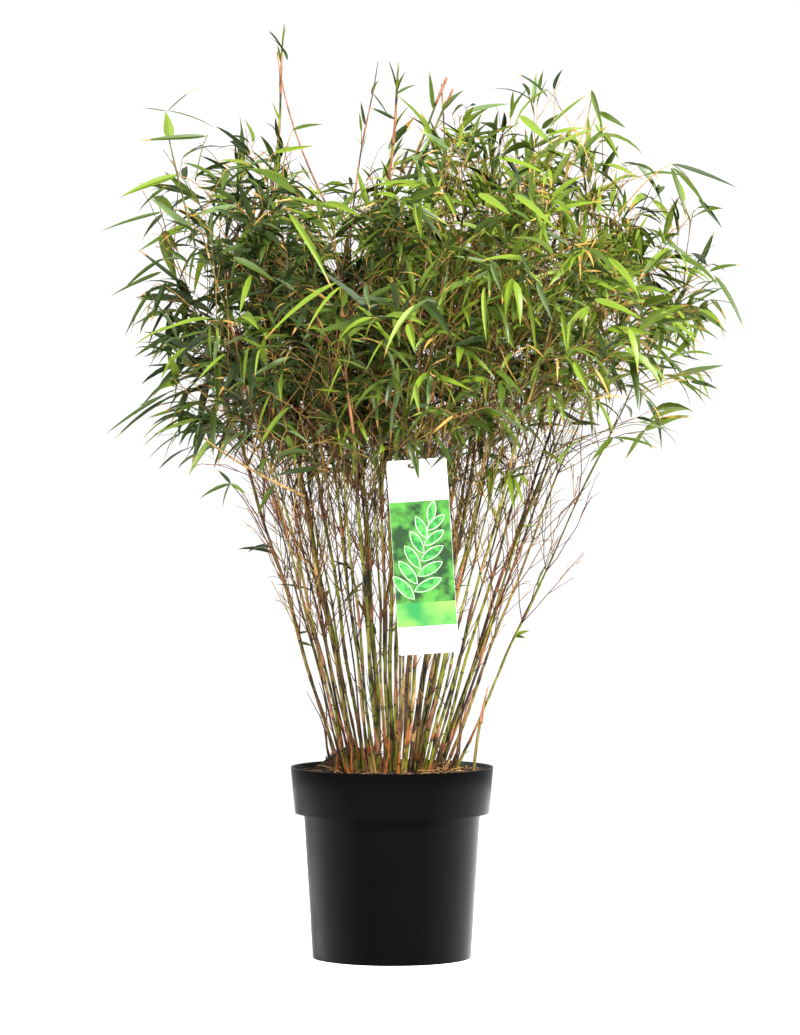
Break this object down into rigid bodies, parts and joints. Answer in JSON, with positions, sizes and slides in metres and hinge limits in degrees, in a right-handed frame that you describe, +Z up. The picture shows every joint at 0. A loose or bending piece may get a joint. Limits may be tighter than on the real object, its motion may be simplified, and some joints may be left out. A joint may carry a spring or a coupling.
{
  "type": "potted bamboo",
  "caption": "Clump-forming garden bamboo in a round tapered nursery pot: slender leaning canes under a broad spreading crown of narrow leaves, with a blank hanging plant label.",
  "frame": {"origin": "centre of the pot's flat underside", "axes": "+Z up along the pot's axis, -Y towards the front, where the plant label hangs, +X to the right seen from the front"},
  "size_m": [0.8888, 0.8131, 1.304],
  "materials": {
    "pot": "satin",
    "soil": "matte",
    "culm": "satin",
    "foliage": "satin",
    "label": "satin"
  },
  "bodies": {
    "root": {"pot": "pot", "soil": "soil", "culm_01": "culm", "culm_02": "culm", "culm_03": "culm", "culm_04": "culm", "culm_05": "culm", "culm_06": "culm", "culm_07": "culm", "culm_08": "culm", "culm_09": "culm", "culm_10": "culm", "culm_11": "culm", "culm_12": "culm", "culm_13": "culm", "culm_14": "culm", "culm_15": "culm", "culm_16": "culm", "culm_17": "culm", "culm_18": "culm", "culm_19": "culm", "culm_20": "culm", "culm_21": "culm", "culm_22": "culm", "culm_23": "culm", "culm_24": "culm", "culm_25": "culm", "culm_26": "culm", "culm_27": "culm", "culm_28": "culm", "culm_29": "culm", "culm_30": "culm", "culm_31": "culm", "culm_32": "culm", "culm_33": "culm", "culm_34": "culm", "label": "label", "label_strap": "label", "foliage_01": "foliage", "foliage_02": "foliage", "foliage_03": "foliage", "foliage_04": "foliage", "foliage_05": "foliage", "foliage_06": "foliage", "foliage_07": "foliage", "foliage_08": "foliage", "foliage_09": "foliage", "foliage_10": "foliage", "foliage_11": "foliage", "foliage_12": "foliage", "foliage_13": "foliage", "foliage_14": "foliage", "foliage_15": "foliage", "foliage_16": "foliage", "foliage_17": "foliage", "foliage_18": "foliage", "foliage_19": "foliage", "foliage_20": "foliage", "foliage_21": "foliage", "foliage_22": "foliage"}
  },
  "joints": []
}
